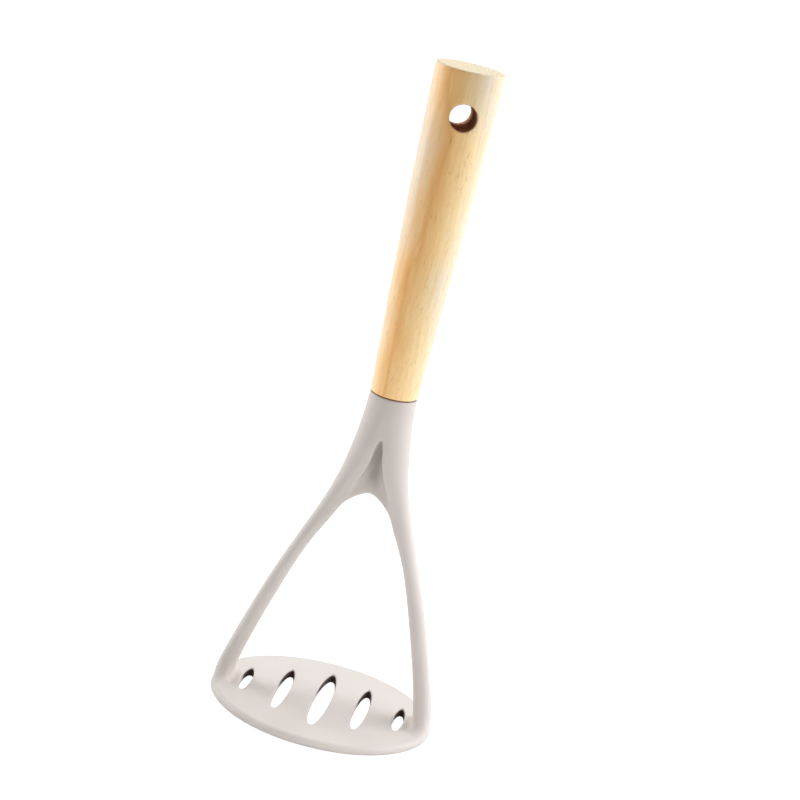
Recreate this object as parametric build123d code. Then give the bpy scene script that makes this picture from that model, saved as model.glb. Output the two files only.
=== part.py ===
from build123d import *
from math import hypot
import os

# Potato masher: a turned wooden handle glued on the tang of a wishbone head.
# The head is a stiff core under a moulded silicone skin, and ends in a slotted oval plate.
# Millimetres. The plate's underside lies at Z = 0 with its long axis along X,
# the handle's axis is Z, and the front of the masher faces -Y.

# Plate
PLATE_LENGTH = 94.0
PLATE_WIDTH = 85.0
PLATE_THICKNESS = 4.0
RIM_ROUNDING = 1.95
# Slots: (place along X, width, length); all but the middle one come in pairs
SLOTS = [(0.0, 7.2, 57.0), (17.0, 5.7, 44.0), (33.1, 4.5, 24.5)]
# How far behind the plate's middle the slots sit
SLOT_SHIFT = 1.2
SLOT_ROUNDING = 0.6

# Wishbone: rows of (height, size), from the collar under the handle down to the foot
COLLAR_HEIGHT = 140.0
HALF_WIDTH = [
    (140.0, 9.65), (130.0, 10.2), (120.0, 11.4), (110.0, 13.0), (100.0, 15.3), (90.0, 18.5),
    (75.0, 24.3), (55.0, 32.0), (35.0, 38.6), (15.0, 44.6), (8.0, 46.2), (2.0, 46.9),
]
HALF_DEPTH = [
    (140.0, 9.65), (130.0, 9.6), (120.0, 9.0), (110.0, 7.9), (100.0, 6.5), (90.0, 5.5),
    (75.0, 4.9), (55.0, 4.6), (35.0, 4.6), (18.0, 4.9), (10.0, 6.2), (5.0, 9.6), (2.0, 14.0),
]
CORNER_RADIUS = [
    (140.0, 9.6), (130.0, 9.4), (120.0, 8.4), (110.0, 6.4), (100.0, 4.4), (90.0, 3.4),
    (75.0, 3.0), (2.0, 2.9),
]
SECTION_HEIGHTS = [
    140.0, 132.0, 124.0, 116.0, 108.0, 100.0, 91.0, 80.0, 66.0, 50.0, 34.0, 22.0, 14.0, 9.0,
    5.5, 3.5, 2.0,
]

# Space between the legs, seen from the front: crown, then (half width, height) to the foot
ARCH_CROWN = 97.4
ARCH_SIDE = [(8.4, 93.0), (13.0, 84.6), (21.0, 67.6), (29.2, 43.4), (36.4, 18.8), (41.0, -1.0)]
LEG_ROUNDING = 2.7
FOOT_BLEND = 2.5
# How far the feet stay inside the plate's rim
RIM_STEP = 0.5

# Pocket at the fork, front and back: tip, then (half width, height) down past the arch
POCKET_TIP = 122.6
POCKET_SIDE = [(1.5, 119.6), (2.5, 113.5), (4.7, 107.6), (7.6, 101.5), (9.2, 96.0)]
# Its floor along the middle: (height, distance from the head's middle plane); it rises to the legs
POCKET_FLOOR = [(122.6, 7.6), (114.0, 3.3), (107.0, 2.2), (99.0, 2.4), (92.0, 3.2)]
FLOOR_SLOPE = 0.36

# Core inside the skin
SKIN = 1.25
TANG_RADIUS = 4.2
TANG_LENGTH = 46.0
TANG_GROOVES = 5
GROOVE_DEPTH = 0.6
GROOVE_WIDTH = 2.4
GROOVE_PITCH = 8.0
TANG_CHAMFER = 0.8

# Glue between the head and the handle
GLUE_LINE = 0.35
GLUE_GAP = 0.3
GLUE_EDGE = 0.1
GLUE_POOL = 1.5

# Handle
TOP_HEIGHT = 275.0
TOP_RADIUS = 13.9
SWELL = 0.5
TOP_ROUNDING = 0.6
HANG_HOLE_HEIGHT = 256.5
HANG_HOLE_RADIUS = 5.35
HANG_HOLE_TURN = 12.0
# Drilled with the handle lying on its tapered side, so its far end is a little lower
HANG_HOLE_TILT = 2.0
HANG_HOLE_ROUNDING = 0.4

# Sizes worked out from the ones above
COLLAR_RADIUS = HALF_WIDTH[0][1]
HANDLE_BOTTOM = COLLAR_HEIGHT + GLUE_LINE
TANG_TOP = COLLAR_HEIGHT + TANG_LENGTH
BORE_RADIUS = TANG_RADIUS + GLUE_GAP
BORE_TOP = TANG_TOP + GLUE_POOL
PAST_ALL = 60.0


def value_at(table, height):
    """Size at a height, on a smooth curve through a table's rows of (height, size)."""
    rows = sorted(table)
    last = len(rows) - 1
    slopes = []
    for i in range(last + 1):
        below, above = rows[max(i - 1, 0)], rows[min(i + 1, last)]
        slopes.append((above[1] - below[1]) / (above[0] - below[0]))
    i = max(k for k in range(last) if rows[k][0] <= height)
    step = rows[i + 1][0] - rows[i][0]
    t = (height - rows[i][0]) / step
    from_below = rows[i][1] * (1 + 2 * t) * (1 - t) ** 2 + slopes[i] * step * t * (1 - t) ** 2
    from_above = rows[i + 1][1] * t**2 * (3 - 2 * t) + slopes[i + 1] * step * t**2 * (t - 1)
    return from_below + from_above


def tent(tip, side, grown):
    """A face seen from the front: a smooth tent from its tip down both sides, grown all round."""
    points = [(0.0, tip), *side]
    right = []
    for i in range(1, len(points)):
        before, after = points[i - 1], points[min(i + 1, len(points) - 1)]
        run_x, run_z = after[0] - before[0], after[1] - before[1]
        run = hypot(run_x, run_z)
        right.append((points[i][0] - grown * run_z / run, points[i][1] + grown * run_x / run))
    left = [(-x, z) for x, z in reversed(right)]
    roof = Spline(*left, (0.0, tip + grown), *right)
    return make_face([roof, Line(right[-1], left[0])])


def envelope(inset):
    """The wishbone's outer form before the space between the legs is cut, drawn in by inset."""
    sections = []
    for z in SECTION_HEIGHTS:
        width = 2 * (value_at(HALF_WIDTH, z) - inset)
        depth = 2 * (value_at(HALF_DEPTH, z) - inset)
        corner = value_at(CORNER_RADIUS, z) - inset
        sections.append(Plane.XY.offset(z) * RectangleRounded(width, depth, corner))
    return loft(sections)


def between_legs(inset):
    """The space between the legs, cut right through from front to back."""
    return extrude(Plane.XZ * tent(ARCH_CROWN, ARCH_SIDE, inset), amount=PAST_ALL, both=True)


def pockets(inset):
    """The pockets at the fork: outline seen from the front, floor seen from the side."""
    outline = extrude(Plane.XZ * tent(POCKET_TIP, POCKET_SIDE, inset), amount=PAST_ALL, both=True)
    floor = [(inset - y, z) for z, y in POCKET_FLOOR]
    first, last = (floor[0][0], POCKET_TIP + PAST_ALL), (floor[-1][0], 0.0)
    ends = [(-PAST_ALL, last[1]), (-PAST_ALL, first[1])]
    profile = make_face(Polyline(first, *floor, last, *ends, close=True))
    half = extrude(Plane.YZ * profile, amount=PAST_ALL, dir=(1.0, -FLOOR_SLOPE, 0.0))
    front = outline & (half + half.mirror(Plane.YZ))
    return front + front.mirror(Plane.XZ)


def legs_and_neck(inset, rounding):
    """The wishbone, with rounded inner edges on its legs where rounding is given."""
    body = envelope(inset) - between_legs(inset)
    if rounding:
        inner = [e for e in body.edges() if abs((e @ 0.5).X) < 1.0 and e.length > ARCH_CROWN]
        inner = [e for e in inner if abs((e @ 0.5).Y) > 1.0]
        body = fillet(inner, rounding)
    edge = RIM_STEP + inset
    within_rim = Ellipse(PLATE_LENGTH / 2 - edge, PLATE_WIDTH / 2 - edge)
    return (body & extrude(within_rim, amount=COLLAR_HEIGHT)) - pockets(inset)


def slots(grown):
    """The elliptical slots as upright cutters."""
    cutters = []
    for place, width, length in SLOTS:
        shape = Ellipse(width / 2 + grown, length / 2 + grown)
        for x in sorted({-place, place}):
            cutters.append(extrude(Pos(x, SLOT_SHIFT, 0) * shape, amount=PAST_ALL, both=True))
    return cutters


def plate(inset):
    """The oval plate with its slots, drawn in by inset on every side."""
    shape = Ellipse(PLATE_LENGTH / 2 - inset, PLATE_WIDTH / 2 - inset)
    return extrude(Pos(0, 0, inset) * shape, amount=PLATE_THICKNESS - 2 * inset)


def head():
    """The head's outer form: plate, legs and neck, with its edges rounded and feet blended."""
    disc = plate(0.0)
    disc = fillet(disc.edges(), RIM_ROUNDING)
    for cutter in slots(0.0):
        disc -= cutter
    rims = [e for e in disc.edges() if e.length < 1.9 * PLATE_LENGTH]
    rims = [e for e in rims if min(abs(e.center().Z), abs(e.center().Z - PLATE_THICKNESS)) < 0.01]
    disc = fillet(rims, SLOT_ROUNDING)
    body = legs_and_neck(0.0, LEG_ROUNDING) + disc
    feet = [e for e in body.edges() if abs((e @ 0.5).Z - PLATE_THICKNESS) < 0.01]
    feet = [e for e in feet if abs((e @ 0.5).X) > ARCH_SIDE[-2][0]]
    return fillet(feet, FOOT_BLEND)


def core():
    """The stiff core: plate web, legs, neck, and the grooved tang that enters the handle."""
    web = plate(SKIN)
    for cutter in slots(SKIN):
        web -= cutter
    body = legs_and_neck(SKIN, 0.0) + web
    tang = Pos(0, 0, COLLAR_HEIGHT) * Cylinder(
        TANG_RADIUS, TANG_LENGTH, align=(Align.CENTER, Align.CENTER, Align.MIN)
    )
    tang = chamfer(tang.edges().sort_by(Axis.Z)[-1], TANG_CHAMFER)
    ring = Cylinder(TANG_RADIUS + 1, GROOVE_WIDTH) - Cylinder(TANG_RADIUS - GROOVE_DEPTH, GROOVE_WIDTH)
    for i in range(TANG_GROOVES):
        tang -= Pos(0, 0, COLLAR_HEIGHT + GROOVE_PITCH * (i + 0.8)) * ring
    return body + tang


def handle():
    """The turned handle: a slightly swelling taper, with a blind bore and a hanging hole."""
    middle = ((COLLAR_RADIUS + TOP_RADIUS) / 2 + SWELL, (HANDLE_BOTTOM + TOP_HEIGHT) / 2)
    corner = (TOP_RADIUS, TOP_HEIGHT)
    side = ThreePointArc((COLLAR_RADIUS, HANDLE_BOTTOM), middle, corner)
    rest = Polyline(corner, (0, TOP_HEIGHT), (0, HANDLE_BOTTOM), (COLLAR_RADIUS, HANDLE_BOTTOM))
    body = revolve(Plane.XZ * make_face([side, rest]), Axis.Z)
    body = fillet(body.edges().sort_by(Axis.Z)[-1], TOP_ROUNDING)
    turn = Rot(0, 0, HANG_HOLE_TURN) * Rot(90 - HANG_HOLE_TILT, 0, 0)
    across = Pos(0, 0, HANG_HOLE_HEIGHT) * turn
    body -= across * Cylinder(HANG_HOLE_RADIUS, PAST_ALL)
    mouths = [e for e in body.edges() if TOP_HEIGHT - 30 < (e @ 0.5).Z < TOP_HEIGHT - 5]
    mouths = [e for e in mouths if e.geom_type != GeomType.LINE]
    body = fillet(mouths, HANG_HOLE_ROUNDING)
    return body - tang_bore()


def tang_bore():
    """The blind bore in the handle's lower end."""
    return Pos(0, 0, HANDLE_BOTTOM) * Cylinder(
        BORE_RADIUS, BORE_TOP - HANDLE_BOTTOM, align=(Align.CENTER, Align.CENTER, Align.MIN)
    )


def glue(core_body):
    """The adhesive round the tang, with the thin line that shows between wood and silicone."""
    line = Pos(0, 0, COLLAR_HEIGHT) * Cylinder(
        COLLAR_RADIUS - GLUE_EDGE, GLUE_LINE, align=(Align.CENTER, Align.CENTER, Align.MIN)
    )
    return line + tang_bore() - core_body


nylon_core = core()
parts = {
    "silicone_skin": head() - nylon_core,
    "nylon_core": nylon_core,
    "tang_adhesive": glue(nylon_core),
    "wooden_handle": handle(),
}
os.makedirs("parts", exist_ok=True)
for name, part in parts.items():
    export_step(part, "parts/" + name + ".step")
    print(name, "solids", len(part.solids()), "volume", round(part.volume), part.is_valid)
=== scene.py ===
import bpy
import math
import numpy as np
from mathutils import Matrix, Vector


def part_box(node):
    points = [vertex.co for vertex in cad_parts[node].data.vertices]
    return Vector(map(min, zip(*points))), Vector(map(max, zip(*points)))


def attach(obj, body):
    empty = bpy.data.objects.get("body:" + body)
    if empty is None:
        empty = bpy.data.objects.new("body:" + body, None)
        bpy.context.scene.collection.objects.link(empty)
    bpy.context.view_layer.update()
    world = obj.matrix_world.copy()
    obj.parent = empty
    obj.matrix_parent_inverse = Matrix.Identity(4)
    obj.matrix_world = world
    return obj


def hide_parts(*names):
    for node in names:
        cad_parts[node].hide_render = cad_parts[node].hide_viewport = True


# Looks of the potato masher: the moulded silicone head and the turned wooden handle as fine
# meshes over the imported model, their materials, and a white studio.
# Shapes are worked out in millimetres and written to the meshes in metres.
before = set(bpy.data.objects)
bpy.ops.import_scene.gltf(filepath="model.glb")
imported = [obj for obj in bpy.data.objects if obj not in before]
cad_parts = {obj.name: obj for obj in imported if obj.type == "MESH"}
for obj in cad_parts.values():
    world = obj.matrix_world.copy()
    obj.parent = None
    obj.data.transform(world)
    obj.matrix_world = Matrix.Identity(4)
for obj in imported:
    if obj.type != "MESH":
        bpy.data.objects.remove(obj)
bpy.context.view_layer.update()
MM = 0.001


def box_mm(node):
    """A node's lowest and highest corner in millimetres."""
    low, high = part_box(node)
    return np.array(low) / MM, np.array(high) / MM


SKIN_LOW, SKIN_HIGH = box_mm("silicone_skin")
WOOD_LOW, WOOD_HIGH = box_mm("wooden_handle")

# Plate
PLATE_A, PLATE_B = SKIN_HIGH[0], SKIN_HIGH[1]
PLATE_THICKNESS = 4.0
RIM_ROUNDING = 1.95
# Slots: rows of (distance from the middle, width, length), on both sides of the middle
SLOTS = [(0.0, 7.2, 57.0), (17.0, 5.7, 44.0), (33.1, 4.5, 24.5)]
SLOT_SHIFT = 1.2
SLOT_ROUNDING = 0.5

# Wishbone: rows of (height, size)
COLLAR_HEIGHT = SKIN_HIGH[2]
HALF_WIDTH = [
    (140.0, 9.65), (130.0, 10.2), (120.0, 11.4), (110.0, 13.0), (100.0, 15.3), (90.0, 18.5),
    (75.0, 24.3), (55.0, 32.0), (35.0, 38.6), (15.0, 44.6), (8.0, 46.2), (2.0, 46.9),
]
HALF_DEPTH = [
    (140.0, 9.65), (130.0, 9.6), (120.0, 9.0), (110.0, 7.9), (100.0, 6.5), (90.0, 5.5),
    (75.0, 4.9), (55.0, 4.6), (35.0, 4.6), (18.0, 4.9), (10.0, 6.2), (5.0, 9.6), (2.0, 14.0),
]
CORNER_RADIUS = [
    (140.0, 9.64), (130.0, 9.5), (120.0, 8.7), (110.0, 7.2), (100.0, 5.4), (90.0, 4.2),
    (75.0, 3.6), (2.0, 3.3),
]
# Window between the legs: its crown, then (half width, height) down one side
ARCH_CROWN = 97.4
ARCH_SIDE = [(8.4, 93.0), (13.0, 84.6), (21.0, 67.6), (29.2, 43.4), (36.4, 18.8), (41.0, -1.0)]
# Inner edges: the rounding on the legs, the rounding at the arch, and where one turns into the other
LEG_ROUNDING = 3.1
ARCH_ROUNDING = 1.2
ROUNDING_HEIGHTS = (78.0, 92.0)
FOOT_BLEND = 2.5
RIM_BLEND = 0.6
RIM_STEP = 0.5
FOOT_BOTTOM = 1.0
COLLAR_ROUNDING = 0.25

# Pocket at the fork: its tip, then (half width, height) down one side of its outline
POCKET_TIP = 122.6
POCKET_SIDE = [
    (1.4, 119.6), (2.3, 113.5), (3.9, 107.6), (6.3, 101.5), (8.4, 96.0), (10.2, 91.0), (11.8, 86.5),
]
# Its floor along the middle: rows of (height, distance from the head's middle plane)
POCKET_FLOOR = [
    (128.0, 9.6), (122.6, 7.5), (118.5, 5.0), (114.0, 3.3), (110.0, 2.5), (105.0, 2.2),
    (100.0, 2.4), (95.0, 2.9), (90.0, 3.7), (84.0, 5.2),
]
FLOOR_SLOPE = 0.36
FLOOR_HOLLOW = 0.8
POCKET_DRAFT = 0.2
POCKET_CORNER = 1.2
RIDGE_ROUNDING = 0.6

# Handle
TOP_HEIGHT = WOOD_HIGH[2]
HANDLE_BOTTOM = WOOD_LOW[2]
TOP_RADIUS = 13.9
BOTTOM_RADIUS = HALF_WIDTH[0][1]
SWELL = 0.5
TOP_ROUNDING = 0.6
BOTTOM_ROUNDING = 0.2
HANG_HOLE_HEIGHT = 256.5
HANG_HOLE_RADIUS = 5.35
HANG_HOLE_TURN = math.radians(12.0)
HANG_HOLE_TILT = math.radians(2.0)
HANG_HOLE_ROUNDING = 0.4
BORE_RADIUS = 4.5
BORE_TOP = box_mm("tang_adhesive")[1][2]
# Directions square to the hanging hole: level, and upwards
TURN_COS, TURN_SIN = math.cos(HANG_HOLE_TURN), math.sin(HANG_HOLE_TURN)
TILT_COS, TILT_SIN = math.cos(HANG_HOLE_TILT), math.sin(HANG_HOLE_TILT)
HOLE_LEVEL = (TURN_COS, TURN_SIN, 0.0)
HOLE_UP = (-TURN_SIN * TILT_SIN, TURN_COS * TILT_SIN, TILT_COS)

# Painted shade on the silicone: where the painted dark of the slot walls ends below the plate's top,
# and the painted shade of the pocket's valley, with its half width at two heights, and the heights at
# which it fades in and out
WALL_SHADE_END = (2.9, 3.5)
VALLEY_SHADE_HEIGHTS = (100.0, 122.0)
VALLEY_SHADE_HALF_WIDTHS = (5.6, 0.6)
VALLEY_SHADE_FADE_IN = (97.5, 107.0)
VALLEY_SHADE_FADE_OUT = (121.5, 122.5)

# The wood's dark streak, seen from the front: its place along X at the collar, then how far
# it moves to the right over each range of height
STREAK_START = -2.8
STREAK_STEPS = [
    (150.0, 163.0, 0.6), (165.0, 188.0, -1.4), (190.0, 206.0, 2.1), (206.0, 240.0, 0.6),
    (245.0, 272.0, -5.0),
]
# Colours from this far left of the streak to this far right of it: the orange streak is the wood's
# own, and the pale, greyer right end is partly the wood's and partly a painted highlight from the
# right lamp
STREAK_REACH = 14.0
STREAK_AND_PAINTED_HIGHLIGHT_BANDS = [
    (0.0, (238, 224, 202)), (0.2, (240, 220, 190)), (0.3, (252, 213, 164)),
    (0.39, (255, 204, 140)), (0.45, (254, 192, 120)), (0.49, (244, 181, 107)),
    (0.54, (254, 196, 124)), (0.64, (254, 206, 138)), (0.74, (250, 212, 152)),
    (0.85, (238, 210, 164)), (1.0, (222, 208, 184)),
]

# Grid steps of the meshes
HEAD_CELL = 0.52
HANDLE_CELL = 0.6
# Distances from the axis along Y past which nothing lies: above the feet, and round the handle
FEET_HEIGHT = 12.0
NECK_REACH = 12.0
HANDLE_REACH = TOP_RADIUS + 2.0


def smooth_table(rows):
    """A function of height that follows rows of (height, value) smoothly."""
    heights, values = np.array(sorted(rows)).T
    slopes = np.empty_like(values)
    slopes[1:-1] = (values[2:] - values[:-2]) / (heights[2:] - heights[:-2])
    slopes[0] = (values[1] - values[0]) / (heights[1] - heights[0])
    slopes[-1] = (values[-1] - values[-2]) / (heights[-1] - heights[-2])

    def at(z):
        i = np.clip(np.searchsorted(heights, z) - 1, 0, len(heights) - 2)
        step = heights[i + 1] - heights[i]
        t = np.clip((z - heights[i]) / step, 0.0, 1.0)
        low = values[i] * (1 + 2 * t) * (1 - t) ** 2 + slopes[i] * step * t * (1 - t) ** 2
        high = values[i + 1] * t**2 * (3 - 2 * t) + slopes[i + 1] * step * t**2 * (t - 1)
        return low + high

    return at


def smooth_line(tip, side, count):
    """Points down one side of an arch: from its crown smoothly through the points of a side."""
    points = [(-side[0][0], side[0][1]), (0.0, tip), *side]
    steps = [math.dist(a, b) for a, b in zip(points, points[1:])]
    along = np.cumsum([-steps[0], *steps])
    across = smooth_table(list(zip(along, [p[0] for p in points])))
    up = smooth_table(list(zip(along, [p[1] for p in points])))
    s = np.linspace(0.0, along[-1], count)
    return np.stack([across(s), up(s)], 1)


def under_line(line, x, z):
    """Distance from the line, with x over 0, and less than 0 below it."""
    nearest = np.full(np.broadcast(x, z).shape, np.inf)
    for (ax, az), (bx, bz) in zip(line[:-1], line[1:]):
        run_x, run_z = bx - ax, bz - az
        t = np.clip(((x - ax) * run_x + (z - az) * run_z) / (run_x**2 + run_z**2), 0.0, 1.0)
        nearest = np.minimum(nearest, (x - ax - t * run_x) ** 2 + (z - az - t * run_z) ** 2)
    edge = np.interp(z, line[::-1, 1], line[::-1, 0], right=-1.0)
    return np.where(x < edge, -1.0, 1.0) * np.sqrt(nearest)


def oval(x, y, a, b):
    """Distance from an ellipse, less than 0 inside."""
    once = np.maximum(np.hypot(x / a, y / b), 1e-6)
    twice = np.maximum(np.hypot(x / a**2, y / b**2), 1e-6)
    return once * (once - 1.0) / twice


def rounded_box(x, y, half_x, half_y, corner):
    """Distance from a rounded rectangle, for x and y over 0."""
    over_x, over_y = x - half_x + corner, y - half_y + corner
    outside = np.hypot(np.maximum(over_x, 0.0), np.maximum(over_y, 0.0))
    return outside + np.minimum(np.maximum(over_x, over_y), 0.0) - corner


def both(a, b, radius):
    """What lies in a and in b, with the edge between them rounded."""
    edge = np.hypot(np.maximum(a + radius, 0.0), np.maximum(b + radius, 0.0))
    return np.minimum(-radius, np.maximum(a, b)) + edge


def either(a, b, radius):
    """What lies in a or in b, with the corner between them blended."""
    corner = np.hypot(np.maximum(radius - a, 0.0), np.maximum(radius - b, 0.0))
    return np.maximum(radius, np.minimum(a, b)) - corner


width_at, depth_at, corner_at = map(smooth_table, (HALF_WIDTH, HALF_DEPTH, CORNER_RADIUS))
floor_at = smooth_table(POCKET_FLOOR)
arch_line = smooth_line(ARCH_CROWN, ARCH_SIDE, 70)
pocket_line = smooth_line(POCKET_TIP, POCKET_SIDE, 40)


def head_field(x, y, z):
    """Distance from the head's surface, less than 0 inside: the wishbone, its pockets, the plate."""
    in_slot, x, y = y - SLOT_SHIFT, np.abs(x), np.abs(y)
    rim = oval(x, y, PLATE_A, PLATE_B)
    depth = depth_at(z)
    body = rounded_box(x, y, width_at(z), depth, corner_at(z))
    outline = under_line(pocket_line, x, z) + POCKET_DRAFT * (depth - y)
    valley = floor_at(z) + FLOOR_SLOPE * (np.hypot(x, FLOOR_HOLLOW) - FLOOR_HOLLOW)
    pocket = both(outline, valley - y, POCKET_CORNER)
    body = both(body, -pocket, RIDGE_ROUNDING)
    rounding = np.interp(z, ROUNDING_HEIGHTS, (LEG_ROUNDING, ARCH_ROUNDING))
    body = both(body, -under_line(arch_line, x, z), rounding)
    body = both(body, rim + RIM_STEP, RIM_BLEND)
    body = np.maximum(body, FOOT_BOTTOM - z)
    middle = PLATE_THICKNESS / 2
    plate = both(rim, np.abs(z - middle) - middle, RIM_ROUNDING)
    for place, width, length in SLOTS:
        plate = both(plate, -oval(x - place, in_slot, width / 2, length / 2), SLOT_ROUNDING)
    blend = np.clip(RIM_BLEND - 0.8 * rim, RIM_BLEND, FOOT_BLEND)
    head = either(body, plate, blend)
    head = both(head, z - COLLAR_HEIGHT, COLLAR_ROUNDING)
    return np.maximum(head, -z)


def handle_field(x, y, z):
    """Distance from the handle's surface: a swelling taper, a hanging hole and the tang's bore."""
    length = TOP_HEIGHT - HANDLE_BOTTOM
    t = (z - HANDLE_BOTTOM) / length
    radius = BOTTOM_RADIUS + (TOP_RADIUS - BOTTOM_RADIUS) * t + 4 * SWELL * t * (1 - t)
    out = np.hypot(x, y)
    body = both(out - radius, z - TOP_HEIGHT, TOP_ROUNDING)
    body = both(body, HANDLE_BOTTOM - z, BOTTOM_ROUNDING)
    up = z - HANG_HOLE_HEIGHT
    aside = [x * a + y * b + up * c for a, b, c in (HOLE_LEVEL, HOLE_UP)]
    hole = np.hypot(*aside) - HANG_HOLE_RADIUS
    body = both(body, -hole, HANG_HOLE_ROUNDING)
    bore = np.maximum(out - BORE_RADIUS, z - BORE_TOP)
    return np.maximum(body, -bore)


def sampled(field, axes, reach):
    """The field on a grid, layer by layer; past reach(z) along Y it is known to be outside."""
    xs, ys, zs = axes
    values = np.ones([len(a) for a in axes], np.float32)
    for k in range(len(zs)):
        near = np.abs(ys) < reach(zs[k])
        values[:, near, k] = field(xs[:, None], ys[None, near], np.full((1, 1), zs[k]))
    return values


def crossed_cells(values):
    """Indices of the grid cells that the surface passes, and their corners' values."""
    corners = [(i, j, k) for i in (0, 1) for j in (0, 1) for k in (0, 1)]
    n = np.array(values.shape) - 1
    views = [values[i:i + n[0], j:j + n[1], k:k + n[2]] for i, j, k in corners]
    inside = sum((v < 0).astype(np.int8) for v in views)
    cells = np.argwhere((inside > 0) & (inside < 8))
    at = np.stack([v[tuple(cells.T)] for v in views], 1)
    return np.array(corners), cells, at


def cell_points(corners, at):
    """A point in each crossed cell: the mean of where the surface crosses the cell's edges."""
    total = np.zeros((len(at), 3))
    count = np.zeros(len(at))
    for a in range(8):
        for b in range(a + 1, 8):
            if np.abs(corners[a] - corners[b]).sum() != 1:
                continue
            crossed = (at[:, a] < 0) != (at[:, b] < 0)
            t = at[crossed, a] / (at[crossed, a] - at[crossed, b])
            total[crossed] += corners[a] + t[:, None] * (corners[b] - corners[a])
            count[crossed] += 1
    return total / count[:, None]


def cell_quads(values, cells):
    """A quad round each grid edge that the surface crosses, facing outwards."""
    number = np.full(np.array(values.shape) - 1, -1, np.int64)
    number[tuple(cells.T)] = np.arange(len(cells))
    quads = []
    for axis in range(3):
        one, two = (axis + 1) % 3, (axis + 2) % 3
        low, high = [slice(None)] * 3, [slice(None)] * 3
        low[axis], high[axis] = slice(0, -1), slice(1, None)
        start, end = values[tuple(low)] < 0, values[tuple(high)] < 0
        edges = np.argwhere(start != end)
        inner = (edges[:, one] > 0) & (edges[:, two] > 0)
        edges = edges[inner]
        ring = []
        for step_one, step_two in ((-1, -1), (0, -1), (0, 0), (-1, 0)):
            cell = edges.copy()
            cell[:, one] += step_one
            cell[:, two] += step_two
            ring.append(number[tuple(cell.T)])
        ring = np.stack(ring, 1)
        leaving = start[tuple(edges.T)]
        quads.append(np.where(leaving[:, None], ring, ring[:, ::-1]))
    return np.concatenate(quads)


def slope(field, points, values, step=0.02):
    """The field's gradient at points."""
    parts = []
    for axis in range(3):
        moved = points.copy()
        moved[:, axis] += step
        parts.append((field(*moved.T) - values) / step)
    return np.stack(parts, 1)


def onto_surface(field, points, rounds):
    """Points moved onto the field's zero level."""
    for _ in range(rounds):
        values = field(*points.T)
        gradient = slope(field, points, values)
        size = np.maximum((gradient**2).sum(1), 0.25)
        points = points - gradient * np.clip(values / size, -0.4, 0.4)[:, None]
    return points


def relaxed(field, points, quads, rounds):
    """Points spread evenly over the surface."""
    ends = np.concatenate([quads[:, [i, (i + 1) % 4]] for i in range(4)])
    for _ in range(rounds):
        total = np.zeros_like(points)
        count = np.zeros(len(points))
        for a, b in ((0, 1), (1, 0)):
            np.add.at(total, ends[:, a], points[ends[:, b]])
            np.add.at(count, ends[:, a], 1)
        points = onto_surface(field, 0.5 * points + 0.5 * total / count[:, None], 1)
    return points


def field_mesh(name, field, low, high, cell, reach):
    """A mesh object of a field's zero level."""
    axes = [np.arange(low[i] - 1.5 * cell, high[i] + 2 * cell, cell) for i in range(3)]
    values = sampled(field, axes, reach)
    corners, cells, at = crossed_cells(values)
    points = (cells + cell_points(corners, at)) * cell + [a[0] for a in axes]
    quads = cell_quads(values, cells)
    points = onto_surface(field, points, 3)
    points = relaxed(field, points, quads, 2)
    points = onto_surface(field, points, 2)
    mesh = bpy.data.meshes.new(name)
    mesh.from_pydata((points * MM).tolist(), [], quads.tolist())
    mesh.validate()
    mesh.shade_smooth()
    piece = bpy.data.objects.new(name, mesh)
    bpy.context.scene.collection.objects.link(piece)
    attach(piece, "root")
    return piece


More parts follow.
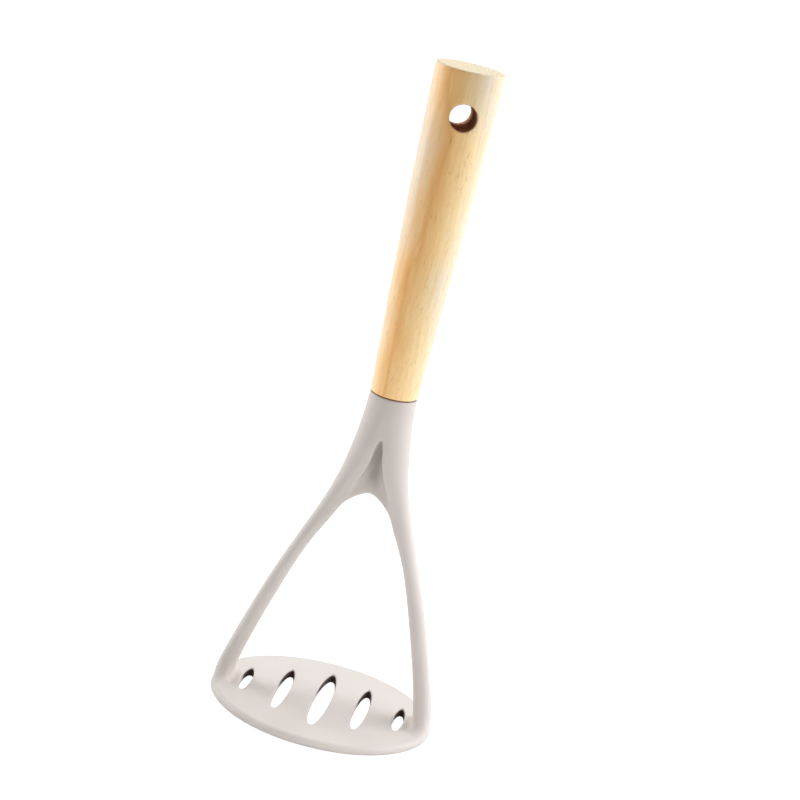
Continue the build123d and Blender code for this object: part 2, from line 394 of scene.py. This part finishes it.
class Nodes:
    """A material's node tree, with short names for the nodes that the materials share."""

    def __init__(self, name):
        self.material = bpy.data.materials.new(name)
        self.material.use_nodes = True
        self.tree = self.material.node_tree
        self.shader = self.tree.nodes["Principled BSDF"]
        coordinates = self.tree.nodes.new("ShaderNodeTexCoord").outputs["Object"]
        self.place = self.vector("SCALE", coordinates, 1.0 / MM)

    def feed(self, socket, value):
        if isinstance(value, bpy.types.NodeSocket):
            self.tree.links.new(value, socket)
        else:
            socket.default_value = value

    def vector(self, operation, first, second):
        node = self.tree.nodes.new("ShaderNodeVectorMath")
        node.operation = operation
        self.feed(node.inputs[0], first)
        self.feed(node.inputs["Scale" if operation == "SCALE" else 1], second)
        return node.outputs["Value" if operation in ("DOT_PRODUCT", "LENGTH") else "Vector"]

    def math(self, operation, first, second=0.0, third=0.0):
        node = self.tree.nodes.new("ShaderNodeMath")
        node.operation = operation
        for socket, value in zip(node.inputs, (first, second, third)):
            self.feed(socket, value)
        return node.outputs[0]

    def axes(self):
        """The place's X, Y and Z."""
        node = self.tree.nodes.new("ShaderNodeSeparateXYZ")
        self.feed(node.inputs[0], self.place)
        return node.outputs

    def length(self, first, second):
        node = self.tree.nodes.new("ShaderNodeCombineXYZ")
        self.feed(node.inputs[0], first)
        self.feed(node.inputs[1], second)
        return self.vector("LENGTH", node.outputs[0], (0.0, 0.0, 0.0))

    def noise(self, place, scale, detail=2.0, roughness=0.5, colour=False):
        node = self.tree.nodes.new("ShaderNodeTexNoise")
        self.feed(node.inputs["Vector"], place)
        node.inputs["Scale"].default_value = scale
        node.inputs["Detail"].default_value = detail
        node.inputs["Roughness"].default_value = roughness
        return node.outputs["Color" if colour else "Fac"]

    def span(self, value, low, high, to_low=0.0, to_high=1.0, smooth=True):
        """The value carried from one range into another, and held at its ends."""
        node = self.tree.nodes.new("ShaderNodeMapRange")
        node.interpolation_type = "SMOOTHSTEP" if smooth else "LINEAR"
        node.clamp = True
        for socket, v in zip(node.inputs, (value, low, high, to_low, to_high)):
            self.feed(socket, v)
        return node.outputs[0]

    def mix(self, share, first, second):
        node = self.tree.nodes.new("ShaderNodeMix")
        node.data_type = "RGBA"
        self.feed(node.inputs[0], share)
        self.feed(node.inputs[6], first)
        self.feed(node.inputs[7], second)
        return node.outputs[2]

    def bands(self, value, stops):
        """Colours along a value from 0 to 1."""
        node = self.tree.nodes.new("ShaderNodeValToRGB")
        ramp = node.color_ramp
        while len(ramp.elements) < len(stops):
            ramp.elements.new(0.5)
        for element, (place, colour) in zip(ramp.elements, stops):
            element.position = place
            element.color = srgb(*colour)
        self.feed(node.inputs[0], value)
        return node.outputs[0]

    def bump(self, height, distance, strength):
        node = self.tree.nodes.new("ShaderNodeBump")
        node.inputs["Strength"].default_value = strength
        node.inputs["Distance"].default_value = distance * MM
        self.feed(node.inputs["Height"], height)
        self.feed(self.shader.inputs["Normal"], node.outputs[0])


def srgb(red, green, blue):
    """A colour given as 0 to 255 display values, for a shader."""
    values = [c / 255 for c in (red, green, blue)]
    return (*[c / 12.92 if c <= 0.04045 else ((c + 0.055) / 1.055) ** 2.4 for c in values], 1.0)


def silicone():
    """Matte warm grey silicone with a moulded texture, painted shade on the slot walls and painted
    shade in the pocket's valley.
    """
    n = Nodes("silicone")
    cloud = n.noise(n.place, 0.035, 3.0)
    colour = n.mix(n.span(cloud, 0.3, 0.7), srgb(200, 188, 178), srgb(204, 192, 183))
    across, along, z = n.axes()
    x, y = n.math("ABSOLUTE", across), n.math("SUBTRACT", along, SLOT_SHIFT)
    wall = 0.0
    # Painted shade: the slot walls are coloured dark towards the slots' back ends, where shade falls,
    # and lose their gloss there
    for place, width, length in SLOTS:
        a, b = width / 2, length / 2
        x_in = n.math("SUBTRACT", x, place)
        once = n.length(n.math("DIVIDE", x_in, a), n.math("DIVIDE", y, b))
        twice = n.length(n.math("DIVIDE", x_in, a * a), n.math("DIVIDE", y, b * b))
        out = n.math("DIVIDE", n.math("MULTIPLY", once, n.math("SUBTRACT", once, 1.0)), twice)
        near_slot = n.span(out, 0.1, 0.3, 1.0, 0.0)
        towards_end = n.span(n.math("DIVIDE", y, b), 0.1, 0.5)
        wall = n.math("MAXIMUM", wall, n.math("MULTIPLY", near_slot, towards_end))
    wall = n.math("MULTIPLY", wall, n.span(z, *WALL_SHADE_END, 1.0, 0.0))
    colour = n.mix(wall, colour, srgb(84, 66, 60))
    # Painted shade: the pocket's valley is coloured darker, fading out towards its sides and ends,
    # where the recess lies in shade
    flank = n.span(z, *VALLEY_SHADE_HEIGHTS, *VALLEY_SHADE_HALF_WIDTHS, smooth=False)
    pocket = n.span(n.math("DIVIDE", x, flank), 0.1, 1.0, 1.0, 0.0)
    pocket = n.math("MULTIPLY", pocket, n.span(z, *VALLEY_SHADE_FADE_IN))
    pocket = n.math("MULTIPLY", pocket, n.span(z, *VALLEY_SHADE_FADE_OUT, 0.95, 0.0))
    colour = n.mix(pocket, colour, srgb(152, 140, 131))
    n.feed(n.shader.inputs["Base Color"], colour)
    n.feed(n.shader.inputs["Specular IOR Level"], n.span(wall, 0.0, 1.0, 0.3, 0.0))
    grain = n.noise(n.place, 2.2, 3.0, 0.6)
    n.feed(n.shader.inputs["Roughness"], n.span(grain, 0.3, 0.7, 0.52, 0.62))
    n.shader.inputs["Sheen Weight"].default_value = 0.1
    n.shader.inputs["Sheen Roughness"].default_value = 0.5
    n.bump(grain, 0.02, 0.5)
    return n.material


def wood():
    """Pale oiled hardwood: a wandering dark streak, paler to its right partly as a painted highlight,
    pores, end grain, and a dark hanging hole.
    """
    n = Nodes("wood")
    x, _, z = n.axes()
    across = n.math("SUBTRACT", x, STREAK_START)
    for low, high, shift in STREAK_STEPS:
        across = n.math("SUBTRACT", across, n.span(z, low, high, 0.0, shift))
    wander = n.noise(n.vector("MULTIPLY", n.place, (0.08, 0.05, 0.03)), 1.0, 3.0)
    across = n.math("ADD", across, n.span(wander, 0.3, 0.7, -1.3, 1.3, smooth=False))
    # Painted highlight, in part: the bands turn paler and greyer to the streak's right, on the side
    # that the right lamp lights
    colour = n.bands(n.span(across, -STREAK_REACH, STREAK_REACH, smooth=False), STREAK_AND_PAINTED_HIGHLIGHT_BANDS)
    drawn = n.vector("MULTIPLY", n.place, (1.0, 0.6, 0.02))
    bend = n.noise(n.vector("MULTIPLY", n.place, (0.03, 0.03, 0.02)), 1.0, 2.0, 0.5, True)
    drawn = n.vector("ADD", drawn, n.vector("MULTIPLY", bend, (9.0, 9.0, 0.0)))
    streak = n.noise(drawn, 0.55, 3.0)
    fine = n.noise(drawn, 2.6, 3.0, 0.6)
    colour = n.mix(n.span(streak, 0.45, 0.7, 0.0, 0.4), colour, srgb(244, 188, 118))
    colour = n.mix(n.span(streak, 0.5, 0.3, 0.0, 0.35), colour, srgb(255, 224, 168))
    colour = n.mix(n.span(fine, 0.4, 0.75, 0.0, 0.25), colour, srgb(232, 172, 102))
    pore = n.noise(n.vector("MULTIPLY", n.place, (3.4, 3.4, 0.22)), 1.0, 2.0, 0.4)
    where = n.noise(n.vector("MULTIPLY", n.place, (0.12, 0.12, 0.03)), 1.0, 1.0)
    pore = n.math("ADD", pore, n.math("MULTIPLY", where, 0.16))
    pore = n.span(n.math("ADD", pore, n.span(across, 1.0, 6.0, 0.0, 0.03)), 0.76, 0.82)
    colour = n.mix(n.math("MULTIPLY", pore, 0.5), colour, srgb(158, 106, 58))
    ring = n.noise(n.vector("MULTIPLY", n.place, (0.9, 0.35, 0.0)), 1.0, 3.0, 0.6)
    grain = n.mix(n.span(ring, 0.35, 0.65), srgb(212, 186, 146), srgb(226, 204, 168))
    colour = n.mix(n.span(z, TOP_HEIGHT - 0.35, TOP_HEIGHT - 0.2), colour, grain)
    from_hole = n.vector("SUBTRACT", n.place, (0.0, 0.0, HANG_HOLE_HEIGHT))
    level = n.vector("DOT_PRODUCT", from_hole, HOLE_LEVEL)
    up = n.vector("DOT_PRODUCT", from_hole, HOLE_UP)
    out = n.length(level, up)
    out = n.math("ADD", out, n.math("MULTIPLY", n.noise(n.place, 0.9, 2.0), 0.4))
    dark = n.span(out, HANG_HOLE_RADIUS + 0.3, HANG_HOLE_RADIUS + 0.6, 1.0, 0.0)
    wall = n.mix(n.noise(n.place, 0.5, 3.0), srgb(170, 122, 94), srgb(198, 152, 120))
    colour = n.mix(dark, colour, wall)
    n.feed(n.shader.inputs["Base Color"], colour)
    rough = n.math("ADD", n.span(fine, 0.3, 0.7, 0.44, 0.54), n.math("MULTIPLY", dark, 0.25))
    n.feed(n.shader.inputs["Roughness"], rough)
    n.feed(n.shader.inputs["Specular IOR Level"], n.span(dark, 0.0, 1.0, 0.4, 0.0))
    n.bump(n.math("SUBTRACT", n.math("MULTIPLY", fine, 0.3), pore), 0.05, 0.35)
    return n.material


def nylon():
    """Dark glass-filled nylon with a faint sparkle, hidden under the skin."""
    n = Nodes("nylon")
    speck = n.noise(n.place, 3.0, 4.0)
    n.feed(n.shader.inputs["Base Color"], n.mix(speck, srgb(48, 46, 45), srgb(78, 75, 72)))
    n.feed(n.shader.inputs["Roughness"], n.span(speck, 0.3, 0.7, 0.4, 0.6))
    n.bump(speck, 0.03, 0.3)
    return n.material


def adhesive():
    """Dark brown glue, which shows as the thin line between wood and silicone."""
    n = Nodes("adhesive")
    patch = n.noise(n.place, 0.6, 3.0)
    n.feed(n.shader.inputs["Base Color"], n.mix(patch, srgb(74, 44, 20), srgb(132, 90, 50)))
    n.feed(n.shader.inputs["Roughness"], n.span(patch, 0.3, 0.7, 0.45, 0.7))
    n.bump(patch, 0.05, 0.3)
    return n.material


def dress(piece, material):
    """Gives a piece its only material."""
    piece.data.materials.clear()
    piece.data.materials.append(material)


def head_reach(z):
    """How far the head reaches along Y at a height."""
    return PLATE_B + 2 * HEAD_CELL if z < FEET_HEIGHT else NECK_REACH


def handle_reach(z):
    """How far the handle reaches along Y at any height."""
    return HANDLE_REACH


head = field_mesh("silicone_head", head_field, SKIN_LOW, SKIN_HIGH, HEAD_CELL, head_reach)
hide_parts("silicone_skin")
dress(head, silicone())
handle = field_mesh(
    "turned_handle", handle_field, WOOD_LOW, WOOD_HIGH, HANDLE_CELL, handle_reach
)
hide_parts("wooden_handle")
dress(handle, wood())
dress(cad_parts["nylon_core"], nylon())
dress(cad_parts["tang_adhesive"], adhesive())

# Camera: where it stands and how it is turned, with the focal length in pixels of its frame
AZIMUTH, ELEVATION, ROLL = math.radians(5.004), math.radians(15.639), math.radians(-13.297)
DISTANCE = 932.0
TARGET = Vector((0.0, 0.0, 135.0))
TARGET_PIXEL = (391.142, 406.127)
FRAME_PIXELS = 800.0
FOCAL_PIXELS = 2.478 * DISTANCE
SENSOR = 36.0

# Studio, in metres and watts
FLOOR_RADIUS = 30.0
FLOOR_GREY = (0.76, 0.76, 0.76, 1.0)
FLOOR_WHITE = 0.7
FLOOR_LIFT = 1.35
AMBIENT_FRONT, AMBIENT_BACK = 0.05, 0.54
AMBIENT_COLOUR = (1.07, 1.0, 0.92, 1.0)
LAMP_COLOUR = (0.93, 1.0, 1.07)
TOP_COLOUR = (0.76, 1.0, 1.24)
# Name, place, aim, size, watts and colour
LAMPS = [
    ("right_lamp", (0.82, 0.2, 0.55), (0.0, 0.0, 0.13), (0.9, 0.6), 9.6, LAMP_COLOUR),
    ("left_lamp", (-0.85, 0.28, 0.45), (0.0, 0.0, 0.13), (0.5, 0.9), 6.6, LAMP_COLOUR),
    ("top_lamp", (0.0, 0.3, 1.1), (0.0, 0.0, 0.1), (0.8, 0.8), 4.4, TOP_COLOUR),
    ("low_lamp", (0.03, -0.22, 0.03), (0.0, 0.0, 0.05), (0.24, 0.06), 0.2, LAMP_COLOUR),
]


def photograph_camera():
    """The camera at the photograph's place, turned so that its axis passes the frame's middle."""
    back = Vector((
        math.sin(AZIMUTH) * math.cos(ELEVATION),
        -math.cos(AZIMUTH) * math.cos(ELEVATION),
        math.sin(ELEVATION),
    ))
    level = Vector((math.cos(AZIMUTH), math.sin(AZIMUTH), 0.0))
    upright = back.cross(level)
    right = level * math.cos(ROLL) - upright * math.sin(ROLL)
    up = level * math.sin(ROLL) + upright * math.cos(ROLL)
    aside = FRAME_PIXELS / 2 - TARGET_PIXEL[0]
    below = FRAME_PIXELS / 2 - TARGET_PIXEL[1]
    axis = (back * FOCAL_PIXELS - right * aside + up * below).normalized()
    side = up.cross(axis).normalized()
    data = bpy.data.cameras.new("camera")
    data.sensor_width = SENSOR
    data.lens = SENSOR * FOCAL_PIXELS / FRAME_PIXELS
    data.clip_end = 100.0
    camera = bpy.data.objects.new("camera", data)
    turn = Matrix((side, axis.cross(side), axis)).transposed().to_4x4()
    camera.matrix_world = Matrix.Translation((TARGET + back * DISTANCE) * MM) @ turn
    bpy.context.scene.collection.objects.link(camera)
    bpy.context.scene.camera = camera


def area_lamp(name, place, aim, size, watts, colour):
    """A soft lamp that the camera doesn't see."""
    data = bpy.data.lights.new(name, "AREA")
    data.shape = "RECTANGLE"
    data.size, data.size_y = size
    data.energy = watts
    data.color = colour
    lamp = bpy.data.objects.new(name, data)
    lamp.location = place
    lamp.rotation_euler = (Vector(aim) - Vector(place)).to_track_quat("-Z", "Y").to_euler()
    lamp.visible_camera = False
    bpy.context.scene.collection.objects.link(lamp)


def seen_directly(tree):
    """1 for rays that show the surroundings: from the camera, in gloss, or through glass."""
    path = tree.nodes.new("ShaderNodeLightPath")
    seen = tree.nodes.new("ShaderNodeMath")
    seen.operation = "MAXIMUM"
    tree.links.new(path.outputs["Is Camera Ray"], seen.inputs[0])
    mirrored = tree.nodes.new("ShaderNodeMath")
    mirrored.operation = "MAXIMUM"
    tree.links.new(path.outputs["Is Glossy Ray"], mirrored.inputs[0])
    tree.links.new(path.outputs["Is Transmission Ray"], mirrored.inputs[1])
    tree.links.new(mirrored.outputs[0], seen.inputs[1])
    return seen.outputs[0]


def white_world(front, back):
    """White where it is seen, and a soft light elsewhere: dimmer from the front than from behind."""
    world = bpy.data.worlds.new("studio")
    bpy.context.scene.world = world
    world.use_nodes = True
    tree = world.node_tree
    ground = tree.nodes["Background"]
    split = tree.nodes.new("ShaderNodeSeparateXYZ")
    tree.links.new(tree.nodes.new("ShaderNodeTexCoord").outputs["Generated"], split.inputs[0])
    soft = tree.nodes.new("ShaderNodeMapRange")
    tree.links.new(split.outputs[1], soft.inputs[0])
    for socket, value in zip(soft.inputs[1:], (-1.0, 0.2, front, back)):
        socket.default_value = value
    strength = tree.nodes.new("ShaderNodeMapRange")
    seen = seen_directly(tree)
    tree.links.new(seen, strength.inputs[0])
    tree.links.new(soft.outputs[0], strength.inputs[3])
    strength.inputs[4].default_value = 1.0
    tint = tree.nodes.new("ShaderNodeMix")
    tint.data_type = "RGBA"
    tree.links.new(seen, tint.inputs[0])
    tint.inputs[6].default_value = AMBIENT_COLOUR
    tint.inputs[7].default_value = (1.0, 1.0, 1.0, 1.0)
    tree.links.new(tint.outputs[2], ground.inputs["Color"])
    tree.links.new(strength.outputs[0], ground.inputs["Strength"])


def pale_floor(radius, lift):
    """A pale floor that keeps the shadow, and is lifted towards white where it is seen."""
    steps = 96
    turns = [2 * math.pi * i / steps for i in range(steps)]
    rim = [(radius * math.cos(a), radius * math.sin(a), 0.0) for a in turns]
    mesh = bpy.data.meshes.new("floor")
    mesh.from_pydata(rim, [], [list(range(steps))])
    floor = bpy.data.objects.new("floor", mesh)
    bpy.context.scene.collection.objects.link(floor)
    material = bpy.data.materials.new("floor")
    material.use_nodes = True
    tree = material.node_tree
    shader = tree.nodes["Principled BSDF"]
    shader.inputs["Base Color"].default_value = FLOOR_GREY
    shader.inputs["Roughness"].default_value = 0.9
    shader.inputs["Specular IOR Level"].default_value = 0.0
    white = tree.nodes.new("ShaderNodeEmission")
    white.inputs["Strength"].default_value = lift
    share = tree.nodes.new("ShaderNodeMath")
    share.operation = "MULTIPLY"
    tree.links.new(seen_directly(tree), share.inputs[0])
    share.inputs[1].default_value = FLOOR_WHITE
    mix = tree.nodes.new("ShaderNodeMixShader")
    tree.links.new(share.outputs[0], mix.inputs[0])
    tree.links.new(shader.outputs[0], mix.inputs[1])
    tree.links.new(white.outputs[0], mix.inputs[2])
    tree.links.new(mix.outputs[0], tree.nodes["Material Output"].inputs["Surface"])
    mesh.materials.append(material)


photograph_camera()
white_world(AMBIENT_FRONT, AMBIENT_BACK)
pale_floor(FLOOR_RADIUS, FLOOR_LIFT)
for lamp in LAMPS:
    area_lamp(*lamp)
bpy.context.scene.view_settings.view_transform = "Standard"
